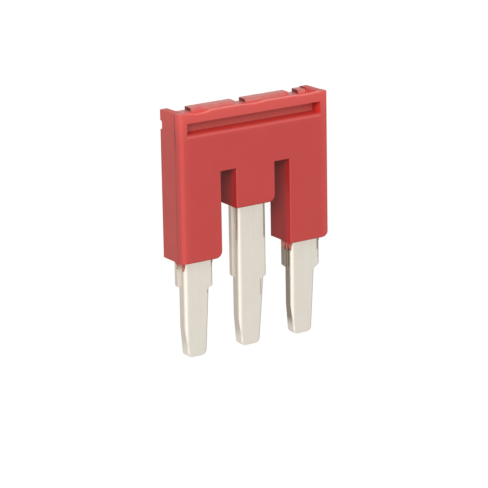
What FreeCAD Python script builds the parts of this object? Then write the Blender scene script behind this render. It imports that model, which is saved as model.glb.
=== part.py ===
import FreeCAD, Part
import math
import os
import re
import Sketcher

from FreeCAD import Vector

# Three-pole plug-in jumper for a row of terminal blocks, in millimetres.
# It lies on its back: X runs along the row of poles, +Y from the blade tips to the grip,
# +Z out of the front face. The origin is the middle of the outline, at the back face.
# Left and right are as seen from the front, with the grip at the top.

SIZES = {
    "pole_pitch": (5.2, "distance from one pole to the next"),
    "bar_length": (20.55, "top of the grip to the blade tips"),
    "housing_depth": (3.0, "back face to front face"),
    "leg_width": (3.76, "width of one insulating leg"),
    "end_margin_width": (0.05, "how much wider the two outer legs are, at the row's ends"),
    "crown_height": (5.15, "from the top to the ends of the slots"),
    "outer_leg_length": (7.15, "slot end to the foot of an outer leg"),
    "middle_leg_length": (3.3, "slot end to the foot of the middle leg"),
    "front_half_depth": (0.75, "parting line to front face"),
    "rear_draft": (0.5, "draft behind the parting line, in degrees"),
    "parting_step_width": (0.02, "step in from the front half to the rear half"),
    "left_edge_radius": (0.4, "rounding of the front face's left end"),
    "right_edge_radius": (0.2, "rounding of the front face's right end"),
    "foot_radius": (0.6, "rounding of each leg's right-hand foot corner"),
    "back_edge_radius": (0.1, "rounding of the back face's edges"),
    "rim_radius": (0.1, "rounding of the front face's other edges"),
    "label_land_height": (0.8, "from the top to the marking groove"),
    "label_groove_height": (0.95, "height of the marking groove"),
    "label_wall_thickness": (0.7, "wall left at each end of the marking groove"),
    "label_groove_depth": (1.15, "depth of the marking groove"),
    "grip_land_height": (0.85, "from the top to the groove across the back"),
    "grip_groove_height": (0.85, "height of the groove across the back"),
    "grip_groove_depth": (0.32, "depth of the groove across the back"),
    "grip_slope_height": (0.15, "height over which that groove's sides slope"),
    "lip_thickness": (0.45, "thickness of the lip in front of the top channel"),
    "end_wall_thickness": (0.68, "thickness of the two end caps"),
    "channel_depth": (0.42, "depth of the top channel"),
    "channel_slope_width": (0.08, "run of the channel's two side walls"),
    "channel_radius": (0.12, "rounding in the channel and on the ridge"),
    "ridge_thickness": (0.85, "thickness of the ridge behind the channel"),
    "ridge_step_height": (0.13, "step from the end caps down to the ridge"),
    "notch_width": (0.95, "width of the notch over each pole"),
    "dip_width": (2.4, "width of the dip in the lip at each pole"),
    "left_dip_depth": (0.16, "depth of the dip at the left pole"),
    "middle_dip_depth": (0.07, "depth of the dip at the middle pole"),
    "right_dip_depth": (0.05, "depth of the dip at the right pole"),
    "sheet_thickness": (0.5, "thickness of each contact stamping"),
    "blade_width": (2.3, "width of a blade below its shoulder"),
    "middle_blade_bulge": (0.15, "how much wider the middle blade is on its right, above its taper"),
    "front_left_shoulder_width": (0.38, "step of the front stamping's shoulder on the left blade"),
    "front_middle_shoulder_width": (0.25, "the same on the middle blade"),
    "front_right_shoulder_width": (0.52, "the same on the right blade"),
    "rear_left_shoulder_width": (0.4, "step of the rear stamping's shoulder on the left blade"),
    "rear_middle_shoulder_width": (0.32, "the same on the middle blade"),
    "rear_right_shoulder_width": (0.4, "the same on the right blade"),
    "front_shoulder_share": (0.31, "front shoulders' corner, as a share of the reach below the outer feet"),
    "rear_shoulder_share": (0.272, "rear shoulders' corner, as a share of the same reach"),
    "left_slant_height": (0.06, "height over which the left blade's shoulders run in"),
    "middle_slant_height": (0.15, "height over which the middle blade's shoulders run in"),
    "right_slant_height": (0.32, "height over which the right blade's shoulders run in"),
    "shoulder_radius": (0.2, "rounding of a shoulder's corner"),
    "crossbar_cover_height": (2.2, "from the top to the crossbar"),
    "crossbar_height": (2.45, "height of the crossbar"),
    "right_taper_width": (0.35, "narrowing of a blade's right side down to its tip"),
    "left_taper_width": (0.2, "narrowing of a blade's left side near its tip"),
    "left_taper_share": (0.313, "length of that narrowing, as a share of the same reach"),
    "tip_radius": (0.45, "rounding of a blade tip's corners"),
    "roll_radius": (0.16, "rolled edge left by stamping on a sheet's outer face"),
    "left_roll_radius": (0.32, "wider rolled edge down the left of each front blade"),
    "cut_margin_length": (1.0, "how far a cutting profile runs past the face it opens"),
}

POLES = (-1, 0, 1)
SIDES = {-1: "left", 0: "middle", 1: "right"}
SAME_PLACE = 1e-6

doc = FreeCAD.newDocument("TerminalBlockJumper")
sheet = doc.addObject("Spreadsheet::Sheet", "Sizes")
for row, (name, (value, meaning)) in enumerate(SIZES.items(), start=1):
    sheet.set("A%d" % row, name)
    sheet.set("B%d" % row, str(value))
    sheet.set("C%d" % row, meaning)
    sheet.setAlias("B%d" % row, name)
gauge = doc.addObject("App::FeaturePython", "gauge")
gauge.addProperty("App::PropertyFloat", "Reading")
doc.recompute()


# Formulas

def bound(formula):
    """The formula with each size name turned into a reference to its cell."""
    return re.sub(r"[a-z_]+", lambda found: "Sizes." + found.group(0), formula)


def value_of(formula):
    """What the formula comes to with the sizes now in the sheet."""
    gauge.setExpression("Reading", bound(formula))
    gauge.recompute()
    return gauge.Reading


def at_pole(pole, formula):
    """Formula for a place along the row, measured from one pole's middle."""
    return "%d * pole_pitch + %s" % (pole, formula)


def from_top(formula):
    """Formula for a height in the outline, given its depth below the top of the grip."""
    return "bar_length / 2 - (%s)" % formula


LEFT_END = at_pole(-1, "-leg_width / 2 - end_margin_width")
RIGHT_END = at_pole(1, "leg_width / 2 + end_margin_width")
ROW_LENGTH = "(2 * pole_pitch + leg_width + 2 * end_margin_width)"
BLADE_REACH = "(bar_length - crown_height - outer_leg_length)"
BACK_OF_FRONT_SHEET = "housing_depth / 2"
FRONT_OF_FRONT_SHEET = BACK_OF_FRONT_SHEET + " + sheet_thickness"
BAR_FOOT = "crossbar_cover_height + crossbar_height"
ABOVE_TOP = from_top("0") + " + cut_margin_length"


# Sketches

def new_sketch(body, name, role, offset="0"):
    """An empty sketch on the body's own origin plane, lifted by the formula."""
    sketch = body.newObject("Sketcher::SketchObject", name)
    plane = next(part for part in body.Origin.OriginFeatures if part.Role == role)
    sketch.AttachmentSupport = [(plane, "")]
    sketch.MapMode = "FlatFace"
    sketch.setExpression("AttachmentOffset.Base.z", bound(offset))
    return sketch


def hold(sketch, constraint, formula):
    """Add a constraint whose size follows the formula."""
    index = sketch.addConstraint(constraint)
    sketch.setExpression("Constraints[%d]" % index, bound(formula))


def hold_point(sketch, geometry, end, corner):
    """Hold one point of the geometry at two formulas, measured from the sketch's origin."""
    for kind, formula in zip(("DistanceX", "DistanceY"), corner):
        distance = Sketcher.Constraint(kind, -1, 1, geometry, end, value_of(formula))
        hold(sketch, distance, formula)


def round_corner(sketch, before, after, corner, place, centre, tangents):
    """Join two straight runs by a tangent arc, with their sharp corner held as a point."""
    radius = value_of(corner[2])
    middle = centre + (place - centre).normalize() * radius
    arc = sketch.addGeometry(Part.Arc(tangents[0], middle, tangents[1]), False)
    starts_here = sketch.getPoint(arc, 1).distanceToPoint(tangents[0]) < SAME_PLACE
    first, second = (1, 2) if starts_here else (2, 1)
    sketch.addConstraint(Sketcher.Constraint("Tangent", before, 2, arc, first))
    sketch.addConstraint(Sketcher.Constraint("Tangent", arc, second, after, 1))
    hold(sketch, Sketcher.Constraint("Radius", arc, radius), corner[2])
    sharp = sketch.addGeometry(Part.Point(place), True)
    sketch.addConstraint(Sketcher.Constraint("PointOnObject", sharp, 1, before))
    sketch.addConstraint(Sketcher.Constraint("PointOnObject", sharp, 1, after))
    hold_point(sketch, sharp, 1, corner)


def draw_outline(sketch, corners):
    """A closed outline; a corner is a pair of formulas, and a third is its radius."""
    places = [Vector(value_of(corner[0]), value_of(corner[1]), 0) for corner in corners]
    tangents = []
    centres = []
    for index, corner in enumerate(corners):
        place = places[index]
        backward = (places[index - 1] - place).normalize()
        forward = (places[(index + 1) % len(places)] - place).normalize()
        half_angle = backward.getAngle(forward) / 2
        radius = value_of(corner[2]) if len(corner) > 2 else 0
        run = radius / math.tan(half_angle)
        tangents.append((place + backward * run, place + forward * run))
        inward = (backward + forward).normalize()
        centres.append(place + inward * (radius / math.sin(half_angle)))
    for index in range(len(corners)):
        following = (index + 1) % len(corners)
        run = Part.LineSegment(tangents[index][1], tangents[following][0])
        sketch.addGeometry(run, False)
    for index, corner in enumerate(corners):
        before = (index - 1) % len(corners)
        if len(corner) > 2:
            round_corner(sketch, before, index, corner, places[index], centres[index],
                         tangents[index])
        else:
            sketch.addConstraint(Sketcher.Constraint("Coincident", before, 2, index, 1))
            hold_point(sketch, index, 1, corner)


def rectangle(left, right, low, high):
    """The four corners of a rectangle, from four formulas."""
    return [(left, low), (right, low), (right, high), (left, high)]


# Features

def add_feature(body, kind, name, profile, **formulas):
    """A sketch-based feature whose sizes are bound to the sheet."""
    feature = body.newObject("PartDesign::" + kind, name)
    feature.Profile = profile
    for size_name, formula in formulas.items():
        feature.setExpression(size_name, bound(formula))
    return feature


def rim_edges(feature, height):
    """The edges round the largest level face of the feature at a height."""
    level = [face for face in feature.Shape.Faces
             if face.BoundBox.ZLength < SAME_PLACE
             and abs(face.BoundBox.ZMin - height) < SAME_PLACE]
    return max(level, key=lambda face: face.Area).OuterWire.Edges


def round_edges(body, name, base, edges, radius):
    """A rounding of chosen edges of the base feature."""
    names = ["Edge%d" % number for number, edge in enumerate(base.Shape.Edges, start=1)
             if any(edge.isSame(other) for other in edges)]
    fillet = body.newObject("PartDesign::Fillet", name)
    fillet.Base = (base, names)
    fillet.setExpression("Radius", bound(radius))
    doc.recompute()
    return fillet


def rounding_section(edge, face, radius, side):
    """Section of a cut that rounds a long edge of a front face; side is 1 on a right-hand edge."""
    inner = "%s - %d * (%s + cut_margin_length)" % (edge, side, radius)
    outer = "%s + %d * cut_margin_length" % (edge, side)
    low = "%s - %s - cut_margin_length" % (face, radius)
    high = face + " + cut_margin_length"
    return [(inner, face), (edge, face, radius), (edge, low),
            (outer, low), (outer, high), (inner, high)]


# Insulating housing

def leg_foot(pole):
    """Formula for a leg's foot, below the top of the grip."""
    return "crown_height + " + ("outer_leg_length" if pole else "middle_leg_length")


def housing_outline(inset):
    """The moulding seen from the front, clockwise from its top left corner and drawn in by the inset."""
    reach = "(leg_width / 2 - %s)" % inset
    left_end = LEFT_END + " + " + inset
    right_end = RIGHT_END + " - " + inset
    slot_end = from_top("crown_height - " + inset)
    corners = [(left_end, from_top(inset)), (right_end, from_top(inset))]
    for pole in reversed(POLES):
        left = left_end if pole < 0 else at_pole(pole, "-1 * " + reach)
        right = right_end if pole > 0 else at_pole(pole, reach)
        foot = from_top("%s - %s" % (leg_foot(pole), inset))
        if pole < 1:
            corners.append((right, slot_end))
        corners.append((right, foot, "foot_radius - " + inset))
        corners.append((left, foot))
        if pole > -1:
            corners.append((left, slot_end))
    return corners


def draft_sides(body, name, base, angle):
    """A draft of the block's side faces, from its top face at the parting line down."""
    top = base.Shape.BoundBox.ZMax
    parting = []
    sides = []
    for number, face in enumerate(base.Shape.Faces, start=1):
        if face.BoundBox.ZLength > SAME_PLACE:
            sides.append("Face%d" % number)
        elif abs(face.BoundBox.ZMin - top) < SAME_PLACE:
            parting.append("Face%d" % number)
    draft = body.newObject("PartDesign::Draft", name)
    draft.Base = (base, sides)
    draft.NeutralPlane = (base, parting)
    draft.setExpression("Angle", bound(angle))
    draft.Reversed = True
    doc.recompute()
    return draft


def mould_block(body):
    """Both mould halves' shape: crown and legs, the rear half drafted and a hair smaller."""
    parting = "housing_depth - front_half_depth"
    rear_outline = new_sketch(body, "rear_outline", "XY_Plane", parting)
    draw_outline(rear_outline, housing_outline("parting_step_width"))
    rear_half = add_feature(body, "Pad", "rear_half", rear_outline, Length=parting)
    rear_half.Reversed = True
    doc.recompute()
    drafted = draft_sides(body, "drafted_sides", rear_half, "rear_draft")
    round_edges(body, "back_edges", drafted, rim_edges(drafted, 0), "back_edge_radius")
    front_outline = new_sketch(body, "front_outline", "XY_Plane", parting)
    draw_outline(front_outline, housing_outline("0"))
    add_feature(body, "Pad", "front_half", front_outline, Length="front_half_depth")


def round_end(body, name, end, side):
    """The larger rounding along one end of the front face, cut right down the bar."""
    sketch = new_sketch(body, name + "_section", "XZ_Plane")
    draw_outline(sketch, rounding_section(end, "housing_depth", name + "_radius", side))
    rounding = add_feature(body, "Pocket", name, sketch, Length="2 * bar_length")
    rounding.Midplane = True


def dip_lip(body, pole):
    """A shallow round dip in the lip's top edge, over one pole."""
    depth = SIDES[pole] + "_dip_depth"
    radius = "(dip_width ^ 2 / (8 * %s) + %s / 2)" % (depth, depth)
    centre = (at_pole(pole, "0"), from_top(depth) + " + " + radius)
    sketch = new_sketch(body, depth + "_arc", "XY_Plane", "housing_depth")
    middle = Vector(value_of(centre[0]), value_of(centre[1]), 0)
    arc = Part.Circle(middle, Vector(0, 0, 1), value_of(radius))
    circle = sketch.addGeometry(arc, False)
    hold_point(sketch, circle, 3, centre)
    hold(sketch, Sketcher.Constraint("Radius", circle, value_of(radius)), radius)
    return add_feature(body, "Pocket", depth + "_cut", sketch, Length="lip_thickness")


def cut_label_groove(body):
    """The closed groove that takes a marking strip, in the front of the crown."""
    sketch = new_sketch(body, "label_groove_outline", "XY_Plane", "housing_depth")
    draw_outline(sketch, rectangle(
        LEFT_END + " + label_wall_thickness",
        RIGHT_END + " - label_wall_thickness",
        from_top("label_land_height + label_groove_height"),
        from_top("label_land_height")))
    add_feature(body, "Pocket", "label_groove", sketch, Length="label_groove_depth")


def cut_channel(body):
    """The channel behind the lip and the lower ridge behind it, between the end caps."""
    lip_back = "housing_depth - lip_thickness"
    sketch = new_sketch(body, "channel_section", "YZ_Plane")
    draw_outline(sketch, [
        (ABOVE_TOP, lip_back),
        (from_top("0"), lip_back),
        (from_top("channel_depth"), lip_back + " - channel_slope_width", "channel_radius"),
        (from_top("channel_depth"), "ridge_thickness + channel_slope_width", "channel_radius"),
        (from_top("ridge_step_height"), "ridge_thickness", "channel_radius"),
        (from_top("ridge_step_height"), "-cut_margin_length"),
        (ABOVE_TOP, "-cut_margin_length")])
    channel = add_feature(body, "Pocket", "channel", sketch,
                          Length=ROW_LENGTH + " - 2 * end_wall_thickness")
    channel.Midplane = True


def cut_notches(body):
    """A notch through the ridge over each pole, down to the floor of the channel."""
    sketch = new_sketch(body, "notch_outline", "XY_Plane")
    draw_outline(sketch, rectangle(
        at_pole(-1, "-notch_width / 2"), at_pole(-1, "notch_width / 2"),
        from_top("channel_depth"), ABOVE_TOP))
    notch = add_feature(body, "Pocket", "notch", sketch,
                        Length="housing_depth - lip_thickness - channel_slope_width")
    notch.Reversed = True
    notches = body.newObject("PartDesign::LinearPattern", "notches")
    notches.Originals = [notch]
    notches.Direction = (sketch, ["H_Axis"])
    notches.setExpression("Length", bound("2 * pole_pitch"))
    notches.Occurrences = len(POLES)
    body.Tip = notches


def clear_left_end(body):
    """The ridge is missing between the left end cap and the first notch."""
    sketch = new_sketch(body, "left_gap_outline", "XY_Plane")
    draw_outline(sketch, rectangle(
        LEFT_END + " + end_wall_thickness", at_pole(-1, "0"),
        from_top("channel_depth"), ABOVE_TOP))
    gap = add_feature(body, "Pocket", "left_gap", sketch,
                      Length="housing_depth - lip_thickness - channel_slope_width")
    gap.Reversed = True


def cut_grip_groove(body):
    """The shallow groove right across the back of the crown."""
    sketch = new_sketch(body, "grip_groove_section", "YZ_Plane")
    top = "grip_land_height"
    foot = "grip_land_height + grip_groove_height"
    draw_outline(sketch, [
        (from_top(top), "-cut_margin_length"),
        (from_top(top), "0"),
        (from_top(top + " + grip_slope_height"), "grip_groove_depth"),
        (from_top(foot + " - grip_slope_height"), "grip_groove_depth"),
        (from_top(foot), "0"),
        (from_top(foot), "-cut_margin_length")])
    groove = add_feature(body, "Pocket", "grip_groove", sketch,
                         Length=ROW_LENGTH + " + 2 * cut_margin_length")
    groove.Midplane = True


def build_moulding():
    """The insulating moulding, before the space of the metal is taken out of it."""
    body = doc.addObject("PartDesign::Body", "moulding")
    mould_block(body)
    for pole in POLES:
        dipped = dip_lip(body, pole)
    doc.recompute()
    rim = rim_edges(dipped, value_of("housing_depth"))
    round_edges(body, "front_rim", dipped, rim, "rim_radius")
    round_end(body, "left_edge", LEFT_END, -1)
    round_end(body, "right_edge", RIGHT_END, 1)
    cut_label_groove(body)
    cut_channel(body)
    cut_notches(body)
    clear_left_end(body)
    cut_grip_groove(body)
    doc.recompute()
    return body


# Contact stampings

def blade_edge(pole, side, stepped, shoulder_side):
    """Formula for a blade's edge, above its shoulder (stepped) or below it."""
    reach = "blade_width / 2"
    if pole == 0 and side > 0:
        reach += " + middle_blade_bulge"
    if stepped and side == shoulder_side:
        sheet_name = "front" if shoulder_side > 0 else "rear"
        reach += " + %s_%s_shoulder_width" % (sheet_name, SIDES[pole])
    return at_pole(pole, "%d * (%s)" % (side, reach))


def blade_outline(pole, shoulder_side):
    """One blade's corners below the crossbar, down its right side and up its left."""
    right = blade_edge(pole, 1, False, shoulder_side)
    left = blade_edge(pole, -1, False, shoulder_side)
    share = "front_shoulder_share" if shoulder_side > 0 else "rear_shoulder_share"
    shoulder = "bar_length - (1 - %s) * %s" % (share, BLADE_REACH)
    shoulder_corner = (blade_edge(pole, shoulder_side, True, shoulder_side),
                       from_top(shoulder), "shoulder_radius")
    shoulder_foot = from_top("%s + %s_slant_height" % (shoulder, SIDES[pole]))
    tip = from_top("bar_length")
    corners = [(right, shoulder_foot),
               (at_pole(pole, "blade_width / 2 - right_taper_width"), tip, "tip_radius"),
               (left + " + left_taper_width", tip, "tip_radius"),
               (left, tip + " + left_taper_share * " + BLADE_REACH)]
    if shoulder_side > 0:
        return [shoulder_corner] + corners
    return corners + [(left, shoulder_foot), shoulder_corner]


def comb_outline(shoulder_side):
    """A stamping seen from the front; its shoulders are on the right (1) or left (-1)."""
    bar_foot = from_top(BAR_FOOT)
    corners = [(blade_edge(-1, -1, True, shoulder_side), from_top("crossbar_cover_height")),
               (blade_edge(1, 1, True, shoulder_side), from_top("crossbar_cover_height"))]
    for pole in reversed(POLES):
        if pole < 1:
            corners.append((blade_edge(pole, 1, True, shoulder_side), bar_foot))
        corners += blade_outline(pole, shoulder_side)
        if pole > -1:
            corners.append((blade_edge(pole, -1, True, shoulder_side), bar_foot))
    return corners


def build_comb(name, lowest, outer_face, shoulder_side):
    """One flat stamping, crossbar and blades, with the edges of its outer face rolled."""
    body = doc.addObject("PartDesign::Body", name)
    outline = new_sketch(body, name + "_outline", "XY_Plane", lowest)
    draw_outline(outline, comb_outline(shoulder_side))
    blank = add_feature(body, "Pad", name + "_blank", outline, Length="sheet_thickness")
    doc.recompute()
    round_edges(body, name + "_roll", blank, rim_edges(blank, value_of(outer_face)), "roll_radius")
    return body


def widen_roll(body, pole):
    """The wider rolled edge down the left of one front blade, from the crossbar to its tip."""
    name = SIDES[pole] + "_blade_roll"
    sketch = new_sketch(body, name + "_section", "XZ_Plane", "-1 * (%s)" % from_top(BAR_FOOT))
    edge = blade_edge(pole, -1, False, 1)
    draw_outline(sketch, rounding_section(edge, FRONT_OF_FRONT_SHEET, "left_roll_radius", -1))
    roll = add_feature(body, "Pocket", name, sketch, Length="bar_length")
    roll.Reversed = True


moulding = build_moulding()
front_comb = build_comb("contact_comb_front", BACK_OF_FRONT_SHEET, FRONT_OF_FRONT_SHEET, 1)
rear_comb = build_comb("contact_comb_rear", BACK_OF_FRONT_SHEET + " - sheet_thickness",
                       BACK_OF_FRONT_SHEET + " - sheet_thickness", -1)
for pole in POLES:
    widen_roll(front_comb, pole)

# The housing is moulded round the metal, so its cavity is the metal's own shape.
metal = doc.addObject("Part::Fuse", "metal")
metal.Base = front_comb
metal.Tool = rear_comb
housing = doc.addObject("Part::Cut", "housing")
housing.Base = moulding
housing.Tool = metal
doc.recompute()

for item in doc.Objects:
    if "Invalid" in item.State or "Error" in item.State:
        raise RuntimeError("%s failed: %s" % (item.Name, item.getStatusString()))

os.makedirs("parts", exist_ok=True)
for piece in (housing, front_comb, rear_comb):
    if piece.Shape.isNull() or not piece.Shape.isValid() or len(piece.Shape.Solids) != 1:
        raise RuntimeError("%s isn't one sound solid" % piece.Label)
    piece.Shape.exportStep("parts/%s.step" % piece.Label)
    box = piece.Shape.BoundBox
    print("%s: %.2f mm3, %.2f x %.2f x %.2f mm" % (
        piece.Label, piece.Shape.Volume, box.XLength, box.YLength, box.ZLength))
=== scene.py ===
import math
from types import SimpleNamespace

import bmesh
import bpy
from mathutils import Matrix, Vector


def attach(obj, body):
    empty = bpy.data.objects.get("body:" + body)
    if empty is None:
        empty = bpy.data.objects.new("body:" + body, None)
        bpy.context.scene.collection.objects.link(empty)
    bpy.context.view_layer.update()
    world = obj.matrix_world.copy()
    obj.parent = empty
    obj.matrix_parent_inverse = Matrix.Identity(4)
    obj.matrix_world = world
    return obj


# Three-pole plug-in jumper for terminal blocks, lying on its back on a pale table.
# X runs along the row of poles, +Y towards the grip and +Z out of the front face, in metres.

MM = 0.001

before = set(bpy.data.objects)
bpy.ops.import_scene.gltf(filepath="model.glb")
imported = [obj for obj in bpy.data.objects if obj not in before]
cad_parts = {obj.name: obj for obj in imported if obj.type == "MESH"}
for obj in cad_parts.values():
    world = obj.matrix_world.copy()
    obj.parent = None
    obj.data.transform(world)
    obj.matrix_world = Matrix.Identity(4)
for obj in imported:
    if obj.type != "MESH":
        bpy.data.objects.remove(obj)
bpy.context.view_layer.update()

# The camera looks down on the front face from the grip's left, as in the photograph.
CAMERA_PLACE = Vector((-116.998, 59.127, 177.790)) * MM
CAMERA_RIGHT = Vector((0.83089626, -0.01730428, 0.55615822))
CAMERA_UP = Vector((0.16775444, 0.96080013, -0.2207296))
SENSOR_WIDTH = 36
LENS = 199.18
NEAREST_SEEN = 0.01
FURTHEST_SEEN = 10

camera_data = bpy.data.cameras.new("camera")
camera_data.sensor_width = SENSOR_WIDTH
camera_data.lens = LENS
camera_data.clip_start = NEAREST_SEEN
camera_data.clip_end = FURTHEST_SEEN
camera = bpy.data.objects.new("camera", camera_data)
camera_back = CAMERA_RIGHT.cross(CAMERA_UP)
turn = Matrix((CAMERA_RIGHT, CAMERA_UP, camera_back)).transposed().to_4x4()
camera.matrix_world = Matrix.Translation(CAMERA_PLACE) @ turn
bpy.context.collection.objects.link(camera)
bpy.context.scene.camera = camera
bpy.context.scene.view_settings.view_transform = "Standard"


# Places on the part: outwards from its middle along X, up its length along Y, from its back along Z

MIDDLE_BLADE_WITHIN = 2 * MM
OUTER_BLADES_BEYOND = 3 * MM
SLOT_REACH = 3.5 * MM
GROOVE_END = 6.46 * MM

CROWN_TOP = 10.275 * MM
RIDGE_FOOT = 9.5 * MM
GROOVE_FOOT = 8.4 * MM
MIDDLE_FOOT = 1.825 * MM
OUTER_FOOT = -2.025 * MM
SHOULDER_FOOT = -5.2 * MM

FRONT_FACE = 3 * MM
GROOVE_RIM = FRONT_FACE - 0.08 * MM
GROOVE_FLOOR = FRONT_FACE - 1.15 * MM
PARTING_LINE = 2.25 * MM
RIDGE_FRONT = 0.93 * MM


# Colours and nodes

def colour(code):
    """An sRGB hex colour as the linear colour that Blender works in."""
    parts = [int(code[place:place + 2], 16) / 255 for place in (1, 3, 5)]
    linear = [part / 12.92 if part <= 0.04045 else ((part + 0.055) / 1.055) ** 2.4
              for part in parts]
    return (*linear, 1)


def add(tree, kind, settings=None, **links):
    """A node with its settings made and its inputs filled from sockets or plain values.

    An input goes by its name with _ for each space, or by its number N as in_N.
    """
    node = tree.nodes.new(kind)
    for name, value in (settings or {}).items():
        setattr(node, name, value)
    for name, value in links.items():
        socket = node.inputs[int(name[3:]) if name.startswith("in_") else name.replace("_", " ")]
        if isinstance(value, bpy.types.NodeSocket):
            tree.links.new(value, socket)
        else:
            socket.default_value = value
    return node


def new_material(name):
    """An empty node material, its node tree and its output node."""
    material = bpy.data.materials.new(name)
    material.use_nodes = True
    material.node_tree.nodes.clear()
    output = material.node_tree.nodes.new("ShaderNodeOutputMaterial")
    return material, material.node_tree, output


TIMES = {"operation": "MULTIPLY"}
PLUS = {"operation": "ADD"}
MINUS = {"operation": "SUBTRACT"}
UNDER = {"operation": "LESS_THAN"}
OVER = {"operation": "GREATER_THAN"}
LARGER = {"operation": "MAXIMUM"}
UNSIGNED = {"operation": "ABSOLUTE"}
COLOURS = {"data_type": "RGBA"}
SMOOTH = {"interpolation_type": "SMOOTHSTEP"}

# How a face's normal is read: square to a direction, leaning that way or the other, or on a rounding.
SQUARE = {"From_Min": 0.6, "From_Max": 0.9}
LEANING = {"From_Min": 0.2, "From_Max": 0.45}
LEANING_AWAY = {"From_Min": -0.2, "From_Max": -0.45}
ROUNDED = {"From_Min": 0.97, "From_Max": 0.85}


def surface_places(tree):
    """Where a point of the surface is and which way its face looks, as sockets to build masks from."""
    place = add(tree, "ShaderNodeTexCoord").outputs["Object"]
    along, height, depth = add(tree, "ShaderNodeSeparateXYZ", in_0=place).outputs[:3]
    outward = add(tree, "ShaderNodeMath", UNSIGNED, in_0=along).outputs[0]
    normal = add(tree, "ShaderNodeNewGeometry").outputs["True Normal"]
    right, up, front = add(tree, "ShaderNodeSeparateXYZ", in_0=normal).outputs[:3]
    level = add(tree, "ShaderNodeMath", UNSIGNED, in_0=front).outputs[0]
    return SimpleNamespace(place=place, along=along, outward=outward, height=height, depth=depth,
                           right=right, up=up, front=front, level=level)


# Moulded polyamide

# Fades over the plastic: where each one starts and ends, and how strong it is at its start and end
BEHIND_PARTING_LINE = {"From_Min": PARTING_LINE + 0.03 * MM, "From_Max": PARTING_LINE - 0.05 * MM}
SEAM_WIDTH = {"From_Min": 0.17 * MM, "From_Max": 0.04 * MM}
SEAM_PATCHES = {"From_Min": 0.35, "From_Max": 0.65, "To_Min": 0.4, "To_Max": 0.85}
SEAM_BY_CROWN = {"From_Min": GROOVE_FOOT - 1.4 * MM, "From_Max": GROOVE_FOOT, "To_Min": 0.45, "To_Max": 1.5}
UP_GROOVE_WALL = {"From_Min": GROOVE_FLOOR, "From_Max": GROOVE_RIM}
ABOVE_GROOVE = {"From_Min": RIDGE_FOOT, "From_Max": RIDGE_FOOT + 0.2 * MM}
ON_RIDGE = {"From_Min": RIDGE_FRONT + 0.05 * MM, "From_Max": RIDGE_FRONT - 0.03 * MM}
THIN_FLASH = {"From_Min": OUTER_FOOT, "From_Max": OUTER_FOOT - 0.25 * MM, "To_Max": 0.6}
CROWN_LIGHT = {"From_Min": GROOVE_FOOT - 0.5 * MM, "From_Max": CROWN_TOP, "To_Max": 0.6}
CROWN_LIGHT_BEHIND = {"To_Min": 1.0, "To_Max": 0.55}
GROOVE_EDGE_HIGHLIGHT = {"From_Min": GROOVE_FOOT - 0.2 * MM, "From_Max": GROOVE_FOOT - 0.08 * MM, "To_Max": 0.6}
LIP_HIGHLIGHT = {**SQUARE, "To_Max": 0.6}
CAP_SHEEN = {**SQUARE, "To_Max": 0.15}
SHEEN_PATCHES = {"From_Min": 0.35, "From_Max": 0.65, "To_Min": 0.3, "To_Max": 0.8}
END_HIGHLIGHT = {"From_Min": 6.2 * MM, "From_Max": 7 * MM, "To_Max": 0.4}
SATIN_TO_DULL = {"To_Min": 0.45, "To_Max": 0.6}
GROOVE_EDGE = GROOVE_FOOT + 0.01 * MM
RIM_SHADE_SHARE = 0.7
RIM_HIGHLIGHT_SHARE = 0.3

# Patterns in the plastic. The melt's flow leaves clouds about 2.5 mm across, the parting line's shade
# comes and goes about every 4 mm and the ridge's painted sheen lies in patches of 0.8 mm. Spark erosion
# leaves a grain of about 0.03 mm, drawn at 0.14 mm so that it shows.
MELT_CLOUDS = {"Scale": 1 / (2.5 * MM), "Detail": 3.0}
SEAM_NOISE = {"Scale": 1 / (4 * MM), "Detail": 2.0}
SHEEN_NOISE = {"Scale": 1 / (0.8 * MM), "Detail": 3.0}
GRAIN = {"Scale": 1 / (0.14 * MM), "Detail": 2.0}
GRAIN_BUMP = {"Strength": 0.12, "Distance": 0.02 * MM}
POLYAMIDE_IOR = 1.53
POLYAMIDE_SHEEN = 0.3


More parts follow.
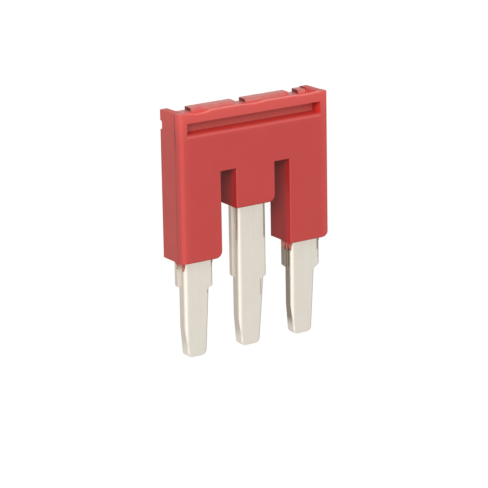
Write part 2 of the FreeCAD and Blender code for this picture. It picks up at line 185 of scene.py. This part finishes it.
def moulding_areas(tree, at):
    """The moulding's areas as masks, each 1 on its own area and 0 elsewhere."""
    inside = add(tree, "ShaderNodeMath", UNDER, in_0=at.outward, in_1=GROOVE_END).outputs[0]
    crown = add(tree, "ShaderNodeMath", OVER, in_0=at.height, in_1=GROOVE_FOOT).outputs[0]
    # Mould inserts formed the crown's grooves, with the front half's finer surface.
    insert = add(tree, "ShaderNodeMath", TIMES, in_0=inside, in_1=crown).outputs[0]
    skin = add(tree, "ShaderNodeMath", MINUS, in_0=1.0, in_1=insert).outputs[0]
    behind = add(tree, "ShaderNodeMapRange", SMOOTH, Value=at.depth, **BEHIND_PARTING_LINE).outputs["Result"]
    rear = add(tree, "ShaderNodeMath", TIMES, in_0=behind, in_1=skin).outputs[0]
    sideways = add(tree, "ShaderNodeMath", UNSIGNED, in_0=at.right).outputs[0]
    flank = add(tree, "ShaderNodeMapRange", Value=sideways, **SQUARE).outputs["Result"]
    face = add(tree, "ShaderNodeMapRange", Value=at.front, **SQUARE).outputs["Result"]
    upper = add(tree, "ShaderNodeMapRange", Value=at.height, **ABOVE_GROOVE).outputs["Result"]
    ridge = add(tree, "ShaderNodeMapRange", Value=at.depth, **ON_RIDGE).outputs["Result"]
    ridge = add(tree, "ShaderNodeMath", TIMES, in_0=ridge, in_1=inside).outputs[0]
    ridge = add(tree, "ShaderNodeMath", TIMES, in_0=ridge, in_1=upper).outputs[0]
    shaded_notch = add(tree, "ShaderNodeMath", TIMES, in_0=flank, in_1=ridge).outputs[0]
    rounding = add(tree, "ShaderNodeMapRange", Value=at.level, **ROUNDED).outputs["Result"]
    leaning = add(tree, "ShaderNodeMapRange", Value=at.level, **LEANING).outputs["Result"]
    rim = add(tree, "ShaderNodeMath", TIMES, in_0=rounding, in_1=leaning).outputs[0]
    return SimpleNamespace(inside=inside, insert=insert, skin=skin, behind=behind, rear=rear, flank=flank,
                           face=face, upper=upper, ridge=ridge, shaded_notch=shaded_notch, rim=rim)


def mould_halves(tree, at, area):
    """The red of the mould's two halves, with the dark, patchy parting line between them."""
    cloud = add(tree, "ShaderNodeTexNoise", Vector=at.place, **MELT_CLOUDS).outputs["Fac"]
    front_tone = add(tree, "ShaderNodeMix", COLOURS, in_0=cloud,
                     in_6=colour("#B23D3A"), in_7=colour("#B9433F")).outputs[2]
    rear_tone = add(tree, "ShaderNodeMix", COLOURS, in_0=cloud,
                    in_6=colour("#B04944"), in_7=colour("#B8504A")).outputs[2]
    tone = add(tree, "ShaderNodeMix", COLOURS, in_0=area.rear, in_6=front_tone, in_7=rear_tone).outputs[2]
    # The line is a hair-fine step, drawn wider here so that it shows, and strongest beside the crown.
    offset = add(tree, "ShaderNodeMath", MINUS, in_0=at.depth, in_1=PARTING_LINE).outputs[0]
    distance = add(tree, "ShaderNodeMath", UNSIGNED, in_0=offset).outputs[0]
    seam = add(tree, "ShaderNodeMapRange", SMOOTH, Value=distance, **SEAM_WIDTH).outputs["Result"]
    patches = add(tree, "ShaderNodeTexNoise", Vector=at.place, **SEAM_NOISE).outputs["Fac"]
    patches = add(tree, "ShaderNodeMapRange", Value=patches, **SEAM_PATCHES).outputs["Result"]
    by_crown = add(tree, "ShaderNodeMapRange", Value=at.height, **SEAM_BY_CROWN).outputs["Result"]
    strength = add(tree, "ShaderNodeMath", TIMES, in_0=patches, in_1=by_crown).outputs[0]
    seam = add(tree, "ShaderNodeMath", TIMES, in_0=seam, in_1=strength).outputs[0]
    seam = add(tree, "ShaderNodeMath", TIMES, in_0=seam, in_1=area.skin).outputs[0]
    return add(tree, "ShaderNodeMix", COLOURS, in_0=seam, in_6=tone, in_7=colour("#6E1614")).outputs[2]


def shade_and_flash(tree, at, area, tone):
    """Painted shade in the slots, the groove and the notches and on rims facing away from the light, painted
    light on the groove's floor, and pale thin flash.
    """
    # Painted shade on the slot walls between the legs: a deep, clear red in front of the parting line,
    # darker and browner behind it.
    between = add(tree, "ShaderNodeMath", UNDER, in_0=at.outward, in_1=SLOT_REACH).outputs[0]
    slot_shade = add(tree, "ShaderNodeMath", TIMES, in_0=area.flank, in_1=between).outputs[0]
    slot_shade_tone = add(tree, "ShaderNodeMix", COLOURS, in_0=area.behind,
                    in_6=colour("#AE1715"), in_7=colour("#96302D")).outputs[2]
    tone = add(tree, "ShaderNodeMix", COLOURS, in_0=slot_shade, in_6=tone, in_7=slot_shade_tone).outputs[2]
    # Painted light and shade in the marking groove: its floor is drawn a paler, duller red, and its walls a
    # clear red drawn darker towards the floor.
    under_ridge = add(tree, "ShaderNodeMath", UNDER, in_0=at.height, in_1=RIDGE_FOOT).outputs[0]
    sunk = add(tree, "ShaderNodeMath", UNDER, in_0=at.depth, in_1=GROOVE_RIM).outputs[0]
    groove = add(tree, "ShaderNodeMath", TIMES, in_0=area.insert, in_1=under_ridge).outputs[0]
    groove = add(tree, "ShaderNodeMath", TIMES, in_0=groove, in_1=sunk).outputs[0]
    shallow = add(tree, "ShaderNodeMapRange", Value=at.depth, **UP_GROOVE_WALL).outputs["Result"]
    groove_wall_shade = add(tree, "ShaderNodeMix", COLOURS, in_0=shallow,
                      in_6=colour("#AE1D18"), in_7=colour("#DE342D")).outputs[2]
    groove_light_and_shade = add(tree, "ShaderNodeMix", COLOURS, in_0=area.face,
                      in_6=groove_wall_shade, in_7=colour("#B85B54")).outputs[2]
    tone = add(tree, "ShaderNodeMix", COLOURS, in_0=groove, in_6=tone, in_7=groove_light_and_shade).outputs[2]
    # Painted shade on the flanks of the notches in the ridge.
    tone = add(tree, "ShaderNodeMix", COLOURS, in_0=area.shaded_notch,
               in_6=tone, in_7=colour("#6A1E1C")).outputs[2]
    # Painted shade on the right, lower and rear rims, which face away from the light.
    rightwards = add(tree, "ShaderNodeMapRange", Value=at.right, **LEANING).outputs["Result"]
    downwards = add(tree, "ShaderNodeMapRange", Value=at.up, **LEANING_AWAY).outputs["Result"]
    backwards = add(tree, "ShaderNodeMapRange", Value=at.front, **LEANING_AWAY).outputs["Result"]
    side = add(tree, "ShaderNodeMath", LARGER, in_0=rightwards, in_1=downwards).outputs[0]
    side = add(tree, "ShaderNodeMath", LARGER, in_0=side, in_1=backwards).outputs[0]
    rim_shade = add(tree, "ShaderNodeMath", TIMES, in_0=area.rim, in_1=side).outputs[0]
    rim_shade = add(tree, "ShaderNodeMath", TIMES, in_0=rim_shade, in_1=RIM_SHADE_SHARE).outputs[0]
    tone = add(tree, "ShaderNodeMix", COLOURS, in_0=rim_shade,
               in_6=tone, in_7=colour("#7E2422")).outputs[2]
    # Flash under the feet is thin enough to look paler.
    thin = add(tree, "ShaderNodeMapRange", Value=at.height, **THIN_FLASH).outputs["Result"]
    return add(tree, "ShaderNodeMix", COLOURS, in_0=thin, in_6=tone, in_7=colour("#D88A7C")).outputs[2]


def painted_light(tree, at, area, tone):
    """Painted light, highlights and sheen: the crown, the groove's lower edge, the lip and ridge, the rims
    and the ends.
    """
    # Painted light: the crown is drawn lighter towards its top, less so behind the parting line and not on
    # the notches.
    crown = add(tree, "ShaderNodeMapRange", Value=at.height, **CROWN_LIGHT).outputs["Result"]
    share = add(tree, "ShaderNodeMapRange", Value=area.rear, **CROWN_LIGHT_BEHIND).outputs["Result"]
    crown = add(tree, "ShaderNodeMath", TIMES, in_0=crown, in_1=share).outputs[0]
    clear = add(tree, "ShaderNodeMath", MINUS, in_0=1.0, in_1=area.shaded_notch).outputs[0]
    crown = add(tree, "ShaderNodeMath", TIMES, in_0=crown, in_1=clear).outputs[0]
    tone = add(tree, "ShaderNodeMix", COLOURS, in_0=crown, in_6=tone, in_7=colour("#DA5A54")).outputs[2]
    # A painted highlight runs along the marking groove's lower edge.
    below = add(tree, "ShaderNodeMapRange", Value=at.height, **GROOVE_EDGE_HIGHLIGHT).outputs["Result"]
    uncut = add(tree, "ShaderNodeMath", UNDER, in_0=at.height, in_1=GROOVE_EDGE).outputs[0]
    groove_highlight = add(tree, "ShaderNodeMath", TIMES, in_0=below, in_1=uncut).outputs[0]
    groove_highlight = add(tree, "ShaderNodeMath", TIMES, in_0=groove_highlight, in_1=area.inside).outputs[0]
    tone = add(tree, "ShaderNodeMix", COLOURS, in_0=groove_highlight, in_6=tone, in_7=colour("#D8605A")).outputs[2]
    # A painted highlight runs along the front lip's top.
    ahead = add(tree, "ShaderNodeMath", OVER, in_0=at.depth, in_1=PARTING_LINE).outputs[0]
    lip_highlight = add(tree, "ShaderNodeMath", TIMES, in_0=ahead, in_1=area.insert).outputs[0]
    lip_highlight = add(tree, "ShaderNodeMath", TIMES, in_0=lip_highlight, in_1=area.upper).outputs[0]
    lip_top = add(tree, "ShaderNodeMapRange", Value=at.up, **LIP_HIGHLIGHT).outputs["Result"]
    lip_highlight = add(tree, "ShaderNodeMath", TIMES, in_0=lip_highlight, in_1=lip_top).outputs[0]
    tone = add(tree, "ShaderNodeMix", COLOURS, in_0=lip_highlight, in_6=tone, in_7=colour("#F07A70")).outputs[2]
    # A painted pale sheen lies on the ridge in patches, and the end caps' tops have a trace of it.
    cap = add(tree, "ShaderNodeMath", OVER, in_0=at.outward, in_1=GROOVE_END).outputs[0]
    cap_top = add(tree, "ShaderNodeMapRange", Value=at.up, **CAP_SHEEN).outputs["Result"]
    cap = add(tree, "ShaderNodeMath", TIMES, in_0=cap, in_1=cap_top).outputs[0]
    ridge_sheen = add(tree, "ShaderNodeMath", LARGER, in_0=area.ridge, in_1=cap).outputs[0]
    patches = add(tree, "ShaderNodeTexNoise", Vector=at.place, **SHEEN_NOISE).outputs["Fac"]
    patches = add(tree, "ShaderNodeMapRange", Value=patches, **SHEEN_PATCHES).outputs["Result"]
    ridge_sheen = add(tree, "ShaderNodeMath", TIMES, in_0=ridge_sheen, in_1=patches).outputs[0]
    ridge_sheen = add(tree, "ShaderNodeMath", TIMES, in_0=ridge_sheen, in_1=clear).outputs[0]
    tone = add(tree, "ShaderNodeMix", COLOURS, in_0=ridge_sheen, in_6=tone, in_7=colour("#BC837D")).outputs[2]
    # Painted highlights: the front's left and top rims are lighter, and so is the front face towards its two
    # ends.
    facing = add(tree, "ShaderNodeMapRange", Value=at.front, **LEANING).outputs["Result"]
    leftwards = add(tree, "ShaderNodeMapRange", Value=at.right, **LEANING_AWAY).outputs["Result"]
    topwards = add(tree, "ShaderNodeMapRange", Value=at.up, **LEANING).outputs["Result"]
    side = add(tree, "ShaderNodeMath", LARGER, in_0=leftwards, in_1=topwards).outputs[0]
    side = add(tree, "ShaderNodeMath", TIMES, in_0=side, in_1=facing).outputs[0]
    rim_highlight = add(tree, "ShaderNodeMath", TIMES, in_0=area.rim, in_1=side).outputs[0]
    rim_highlight = add(tree, "ShaderNodeMath", TIMES, in_0=rim_highlight, in_1=RIM_HIGHLIGHT_SHARE).outputs[0]
    lit_ends = add(tree, "ShaderNodeMapRange", Value=at.outward, **END_HIGHLIGHT).outputs["Result"]
    lit_ends = add(tree, "ShaderNodeMath", TIMES, in_0=lit_ends, in_1=area.face).outputs[0]
    highlights = add(tree, "ShaderNodeMath", LARGER, in_0=rim_highlight, in_1=lit_ends).outputs[0]
    return add(tree, "ShaderNodeMix", COLOURS, in_0=highlights, in_6=tone, in_7=colour("#D2534C")).outputs[2]


def moulded_polyamide():
    """Red polyamide, injection moulded: satin in front of the parting line, duller and browner behind."""
    material, tree, output = new_material("moulded_polyamide")
    at = surface_places(tree)
    area = moulding_areas(tree, at)
    tone = mould_halves(tree, at, area)
    tone = shade_and_flash(tree, at, area, tone)
    tone = painted_light(tree, at, area, tone)
    rough = add(tree, "ShaderNodeMapRange", Value=area.rear, **SATIN_TO_DULL).outputs["Result"]
    grain = add(tree, "ShaderNodeTexNoise", Vector=at.place, **GRAIN).outputs["Fac"]
    bump = add(tree, "ShaderNodeBump", Height=grain, **GRAIN_BUMP).outputs["Normal"]
    shader = add(tree, "ShaderNodeBsdfPrincipled", Base_Color=tone, Roughness=rough, Normal=bump,
                 IOR=POLYAMIDE_IOR, Specular_IOR_Level=POLYAMIDE_SHEEN)
    tree.links.new(shader.outputs["BSDF"], output.inputs["Surface"])
    return material


# Tinned copper

# Fades over the metal: where each one starts and ends, and how strong it is at its start and end
SHEARED_EDGE = {"From_Min": 0.3, "From_Max": 0.1}
CUT_EDGE_BY_BLADE = {"From_Min": -3.12 * MM, "From_Max": 3.536 * MM, "To_Min": 0.28, "To_Max": 0.96}
CUT_EDGE_BY_TIP = {"From_Min": -9.6 * MM, "From_Max": -8.8 * MM, "To_Min": 0.2}
RIGHT_EDGE_SHADE = {**LEANING, "To_Max": 0.9}
DARK_SHOULDER_SIDE = {"From_Min": 4.02 * MM, "From_Max": 3.99 * MM, "To_Max": 0.85}
DARK_SHOULDER_HEIGHT = {"From_Min": SHOULDER_FOOT, "From_Max": SHOULDER_FOOT + 0.6 * MM}
DARK_SHOULDER_FROM = 3.5 * MM
FOOT_BY_BLADE = {"From_Min": MIDDLE_BLADE_WITHIN, "From_Max": OUTER_BLADES_BEYOND,
                 "To_Min": MIDDLE_FOOT, "To_Max": OUTER_FOOT}
RED_REFLECTION = {"From_Min": -0.5 * MM, "From_Max": -0.05 * MM, "To_Max": 0.7}
TIN_TONES = {"From_Min": 0.7, "From_Max": 1.3}
TIN_ROUGHNESS = {"To_Min": 0.5, "To_Max": 0.44}

# Rolling leaves lines of a few hundredths of a millimetre, drawn 0.22 mm apart so that they show. They
# run along the blades, and the plating's clouds of 1.2 mm break them up.
ROLLING_LINES = {"Scale": 1 / (0.22 * MM), "Detail": 3.0}
ROLLING_STRETCH = (1, 0.03, 1)
ROLLING_BUMP = {"Strength": 0.1, "Distance": 0.01 * MM}
TIN_CLOUDS = {"Scale": 1 / (1.2 * MM), "Detail": 2.0}

# Dark marks on the blades' edges: middle and reach along X, lower and upper end in mm, and strength.
# A mark is full over MARK_CORE of its reach and fades within MARK_FADE, in mm, of both its ends.
DARK_EDGE_MARKS = (
    (-3.74, 0.16, -2.9, -1.9, 0.8),
    (-3.74, 0.12, -4.3, -2.9, 0.35),
    (-4.16, 0.12, -5.05, -4.8, 0.9),
    (1.37, 0.1, -1.3, 1.9, 0.75),
    (0.97, 0.1, -6.2, -4.8, 0.45),
    (6.74, 0.2, -3.3, -1.9, 0.85),
    (6.76, 0.14, -4.0, -3.3, 0.4),
)
MARK_CORE = 0.4
MARK_FADE = 0.12


def bare_alloy_and_shade(tree, at):
    """The browner alloy on the cut edges, painted shade on the rolled edges facing right, a darker shoulder
    on the right blade and dark marks.
    """
    # The die shears the plated strip and bares the alloy on the cut edges, drawn darker from the left blade
    # to the right and lighter at the tips.
    sheared = add(tree, "ShaderNodeMapRange", SMOOTH, Value=at.level, **SHEARED_EDGE).outputs["Result"]
    graded = add(tree, "ShaderNodeMapRange", SMOOTH, Value=at.along, **CUT_EDGE_BY_BLADE).outputs["Result"]
    tip = add(tree, "ShaderNodeMapRange", Value=at.height, **CUT_EDGE_BY_TIP).outputs["Result"]
    graded = add(tree, "ShaderNodeMath", TIMES, in_0=graded, in_1=tip).outputs[0]
    bare = add(tree, "ShaderNodeMath", TIMES, in_0=sheared, in_1=graded).outputs[0]
    # Painted shade on the rolled edges that face right, away from the light.
    right_edge_shade = add(tree, "ShaderNodeMapRange", Value=at.right, **RIGHT_EDGE_SHADE).outputs["Result"]
    bare = add(tree, "ShaderNodeMath", LARGER, in_0=bare, in_1=right_edge_shade).outputs[0]
    # The right blade's left shoulder is drawn darker, from the shoulder's foot upwards.
    dark_shoulder = add(tree, "ShaderNodeMapRange", Value=at.along, **DARK_SHOULDER_SIDE).outputs["Result"]
    beyond = add(tree, "ShaderNodeMath", OVER, in_0=at.along, in_1=DARK_SHOULDER_FROM).outputs[0]
    dark_shoulder = add(tree, "ShaderNodeMath", TIMES, in_0=dark_shoulder, in_1=beyond).outputs[0]
    above = add(tree, "ShaderNodeMapRange", Value=at.height, **DARK_SHOULDER_HEIGHT).outputs["Result"]
    dark_shoulder = add(tree, "ShaderNodeMath", TIMES, in_0=dark_shoulder, in_1=above).outputs[0]
    bare = add(tree, "ShaderNodeMath", LARGER, in_0=bare, in_1=dark_shoulder).outputs[0]
    for middle, reach, low, high, strength in DARK_EDGE_MARKS:
        offset = add(tree, "ShaderNodeMath", MINUS, in_0=at.along, in_1=middle * MM).outputs[0]
        offset = add(tree, "ShaderNodeMath", UNSIGNED, in_0=offset).outputs[0]
        mark = add(tree, "ShaderNodeMapRange", Value=offset, From_Min=reach * MM,
                   From_Max=MARK_CORE * reach * MM, To_Max=strength).outputs["Result"]
        foot = add(tree, "ShaderNodeMapRange", Value=at.height, From_Min=(low - MARK_FADE) * MM,
                   From_Max=(low + MARK_FADE) * MM).outputs["Result"]
        head = add(tree, "ShaderNodeMapRange", Value=at.height, From_Min=(high + MARK_FADE) * MM,
                   From_Max=(high - MARK_FADE) * MM).outputs["Result"]
        mark = add(tree, "ShaderNodeMath", TIMES, in_0=mark, in_1=foot).outputs[0]
        mark = add(tree, "ShaderNodeMath", TIMES, in_0=mark, in_1=head).outputs[0]
        bare = add(tree, "ShaderNodeMath", LARGER, in_0=bare, in_1=mark).outputs[0]
    return bare


def tinned_copper():
    """Copper alloy strip, matt tin plated and stamped: soft warm grey with faint rolling lines."""
    material, tree, output = new_material("tinned_copper")
    at = surface_places(tree)
    stretched = add(tree, "ShaderNodeMapping", in_0=at.place, Scale=ROLLING_STRETCH).outputs["Vector"]
    lines = add(tree, "ShaderNodeTexNoise", Vector=stretched, **ROLLING_LINES).outputs["Fac"]
    cloud = add(tree, "ShaderNodeTexNoise", Vector=at.place, **TIN_CLOUDS).outputs["Fac"]
    mixed = add(tree, "ShaderNodeMath", PLUS, in_0=lines, in_1=cloud).outputs[0]
    share = add(tree, "ShaderNodeMapRange", Value=mixed, **TIN_TONES).outputs["Result"]
    plated = add(tree, "ShaderNodeMix", COLOURS, in_0=share,
                 in_6=colour("#DBD4C9"), in_7=colour("#E1DAD0")).outputs[2]
    # A painted reflection of the red plastic warms the plating next to it.
    plastic = add(tree, "ShaderNodeMapRange", Value=at.outward, **FOOT_BY_BLADE).outputs["Result"]
    below = add(tree, "ShaderNodeMath", MINUS, in_0=at.height, in_1=plastic).outputs[0]
    red_reflection = add(tree, "ShaderNodeMapRange", Value=below, **RED_REFLECTION).outputs["Result"]
    plated = add(tree, "ShaderNodeMix", COLOURS, in_0=red_reflection,
                 in_6=plated, in_7=colour("#FADCC4")).outputs[2]
    tone = add(tree, "ShaderNodeMix", COLOURS, in_0=bare_alloy_and_shade(tree, at),
               in_6=plated, in_7=colour("#85796A")).outputs[2]
    rough = add(tree, "ShaderNodeMapRange", Value=share, **TIN_ROUGHNESS).outputs["Result"]
    bump = add(tree, "ShaderNodeBump", Height=lines, **ROLLING_BUMP).outputs["Normal"]
    shader = add(tree, "ShaderNodeBsdfPrincipled", Base_Color=tone, Roughness=rough, Normal=bump,
                 Metallic=1.0)
    tree.links.new(shader.outputs["BSDF"], output.inputs["Surface"])
    return material


POLYAMIDE = moulded_polyamide()
TIN = tinned_copper()
for name, material in (("housing", POLYAMIDE), ("contact_comb_front", TIN), ("contact_comb_rear", TIN)):
    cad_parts[name].material_slots[0].material = material


# Flash: torn teeth of plastic that hang from the outer feet beside the blades' corners

# Name, X and Z of the tooth's middle, length, width along X and along Z, in millimetres.
FLASH_TEETH = (
    ("left_rear", -6.73, 1.45, 0.7, 0.22, 0.6),
    ("left_corner", -6.42, 1.9, 0.9, 0.5, 0.5),
    ("left_far", -3.68, 1.96, 0.6, 0.16, 0.24),
    ("right_rear", 3.7, 1.4, 0.7, 0.3, 0.9),
    ("right_web", 3.88, 1.62, 0.95, 0.4, 0.6),
    ("right_corner", 4.02, 1.9, 0.95, 0.6, 0.5),
    ("right_far", 6.82, 1.96, 0.5, 0.16, 0.24),
)
TOOTH_ROOT = 0.12 * MM
TOOTH_TIP_SHARE = 0.2
TOOTH_SIDES = 12
TOOTH_RINGS = 4
TOOTH_WAVE = 0.03 * MM
TOOTH_WAVE_LENGTH = 0.13 * MM


def flash_tooth(name, across, out, length, width, thickness):
    """One tooth: a blunt cone, drawn out and bent in a slight wave, its root a little inside the foot."""
    tooth = bmesh.new()
    # The cone is one unit long and wide until it is scaled to the tooth's own size.
    bmesh.ops.create_cone(tooth, cap_ends=True, segments=TOOTH_SIDES, radius1=0.5,
                          radius2=0.5 * TOOTH_TIP_SHARE, depth=1)
    sides = [edge for edge in tooth.edges if edge.verts[0].co.z * edge.verts[1].co.z < 0]
    bmesh.ops.subdivide_edges(tooth, edges=sides, cuts=TOOTH_RINGS)
    bmesh.ops.rotate(tooth, verts=tooth.verts, matrix=Matrix.Rotation(math.pi / 2, 3, "X"))
    bmesh.ops.translate(tooth, verts=tooth.verts, vec=(0, -0.5, 0))
    bmesh.ops.scale(tooth, verts=tooth.verts, vec=(width * MM, length * MM + TOOTH_ROOT, thickness * MM))
    for vert in tooth.verts:
        vert.co.x += TOOTH_WAVE * math.sin(vert.co.y / TOOTH_WAVE_LENGTH + across)
    bmesh.ops.translate(tooth, verts=tooth.verts, vec=(across * MM, OUTER_FOOT + TOOTH_ROOT, out * MM))
    bmesh.ops.recalc_face_normals(tooth, faces=tooth.faces)
    data = bpy.data.meshes.new("flash_" + name)
    tooth.to_mesh(data)
    tooth.free()
    data.shade_smooth()
    data.materials.append(POLYAMIDE)
    piece = bpy.data.objects.new("flash_" + name, data)
    bpy.context.collection.objects.link(piece)
    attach(piece, "root")


for row in FLASH_TEETH:
    flash_tooth(*row)


# Table and light

TABLE_REACH = 0.6
TABLE_GLOW = 1.12
TABLE_GLOW_SHARE = 0.85
WHITE = (1, 1, 1, 1)

# The sky's strength: in reflections, from left to right, and then as light on the object or when seen.
SKY_REFLECTED = {"From_Min": -0.8, "From_Max": 1.0, "To_Min": 1.26, "To_Max": 0.84}
SKY_SEEN = {"To_Min": 0.3, "To_Max": 1.0}


def table_top():
    """Matt white laminate that shows the camera a clean white and still takes a soft shadow."""
    material, tree, output = new_material("white_laminate")
    ray = add(tree, "ShaderNodeLightPath").outputs
    seen = add(tree, "ShaderNodeMath", LARGER,
               in_0=ray["Is Camera Ray"], in_1=ray["Is Glossy Ray"]).outputs[0]
    seen = add(tree, "ShaderNodeMath", LARGER, in_0=seen, in_1=ray["Is Transmission Ray"]).outputs[0]
    share = add(tree, "ShaderNodeMath", TIMES, in_0=seen, in_1=TABLE_GLOW_SHARE).outputs[0]
    matt = add(tree, "ShaderNodeBsdfDiffuse", Color=colour("#B8B8B6")).outputs["BSDF"]
    glow = add(tree, "ShaderNodeEmission", Color=WHITE, Strength=TABLE_GLOW).outputs["Emission"]
    mixed = add(tree, "ShaderNodeMixShader", in_0=share, in_1=matt, in_2=glow).outputs["Shader"]
    tree.links.new(mixed, output.inputs["Surface"])
    return material


table_mesh = bmesh.new()
bmesh.ops.create_grid(table_mesh, x_segments=1, y_segments=1, size=TABLE_REACH)
table_data = bpy.data.meshes.new("table")
table_mesh.to_mesh(table_data)
table_mesh.free()
table_data.materials.append(table_top())
table = bpy.data.objects.new("table", table_data)
bpy.context.collection.objects.link(table)


def softbox(name, place, size, power, mirrored=True):
    """A square lamp that faces the object, in metres and watts; unmirrored, it shows in no reflection."""
    data = bpy.data.lights.new(name, "AREA")
    data.shape = "SQUARE"
    data.size = size
    data.energy = power
    lamp = bpy.data.objects.new(name, data)
    lamp.location = place
    lamp.rotation_mode = "QUATERNION"
    lamp.rotation_quaternion = (-Vector(place)).to_track_quat("-Z", "Y")
    lamp.visible_glossy = mirrored
    bpy.context.collection.objects.link(lamp)


softbox("key", place=(-0.25, 0.23, 0.31), size=0.28, power=2.2)
softbox("fill", place=(0.1, 0.05, 0.5), size=0.5, power=0.5, mirrored=False)


def studio():
    """White walls to the camera, a little darker on the right in reflections, and an even soft light."""
    world = bpy.data.worlds.new("studio")
    world.use_nodes = True
    tree = world.node_tree
    tree.nodes.clear()
    output = tree.nodes.new("ShaderNodeOutputWorld")
    ray = add(tree, "ShaderNodeLightPath").outputs
    direction = add(tree, "ShaderNodeTexCoord").outputs["Generated"]
    across = add(tree, "ShaderNodeSeparateXYZ", in_0=direction).outputs["X"]
    mirrored = add(tree, "ShaderNodeMapRange", Value=across, **SKY_REFLECTED).outputs["Result"]
    mirrored = add(tree, "ShaderNodeMath", TIMES, in_0=mirrored, in_1=ray["Is Glossy Ray"]).outputs[0]
    seen = add(tree, "ShaderNodeMath", LARGER,
               in_0=ray["Is Camera Ray"], in_1=ray["Is Transmission Ray"]).outputs[0]
    plain = add(tree, "ShaderNodeMapRange", Value=seen, **SKY_SEEN).outputs["Result"]
    strength = add(tree, "ShaderNodeMath", LARGER, in_0=mirrored, in_1=plain).outputs[0]
    sky = add(tree, "ShaderNodeBackground", Color=WHITE, Strength=strength)
    tree.links.new(sky.outputs["Background"], output.inputs["Surface"])
    return world


bpy.context.scene.world = studio()
